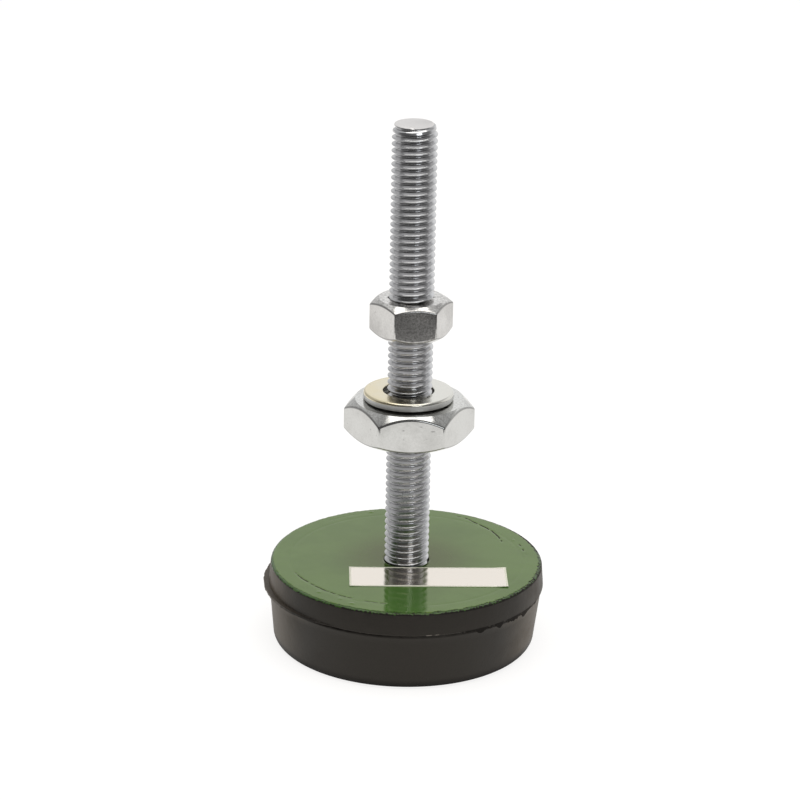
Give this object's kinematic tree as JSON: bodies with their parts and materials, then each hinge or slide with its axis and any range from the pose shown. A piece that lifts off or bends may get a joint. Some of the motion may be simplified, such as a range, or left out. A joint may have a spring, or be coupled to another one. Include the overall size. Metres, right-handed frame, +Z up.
{
  "type": "levelling machine mount",
  "caption": "Round rubber machine foot with a green painted steel plate in its top and a tall fixed threaded stud carrying a broad levelling nut, a washer and a lock nut.",
  "frame": {"origin": "on the stud's axis, at the sole that stands on the floor", "axes": "+Z up along the stud; -Y towards the side that carries the label"},
  "size_m": [0.0624, 0.0612, 0.1191],
  "materials": {
    "rubber": "black moulded rubber, satin",
    "green_enamel": "glossy green enamel over steel and rubber",
    "plain_steel": "bare",
    "zinc_stud": "bright zinc plate on rolled thread",
    "zinc_nut": "bright zinc plate",
    "zinc_washer": "warm zinc plate",
    "label_foil": "bright silver foil sticker with a pale edge, blank"
  },
  "bodies": {
    "base": {"rubber_pad": "rubber", "steel_plate": "plain_steel", "paint_coat": "green_enamel", "weld_nut": "plain_steel", "threaded_stud": "zinc_stud", "label": "label_foil"},
    "washer": {"washer": "zinc_washer"},
    "levelling_nut": {"levelling_nut": "zinc_nut"},
    "lock_nut": {"lock_nut": "zinc_nut"}
  },
  "joints": [
    {"name": "level_rise", "type": "slide", "parent": "base", "child": "washer", "axis": [0, 0, 1], "range_m": [-0.02925, 0.006]},
    {"name": "level_turn", "type": "hinge", "parent": "washer", "child": "levelling_nut", "pos_m": [0, 0, 0.0484], "axis": [0, 0, 1], "range_deg": [-7020, 1440]},
    {"name": "lock_rise", "type": "slide", "parent": "base", "child": "lock_nut", "axis": [0, 0, 1], "range_m": [-0.006, 0.036]}
  ],
  "couplings": [
    {"joint": "level_rise", "follows": "level_turn", "m_per_rad": 0.00023873}
  ]
}
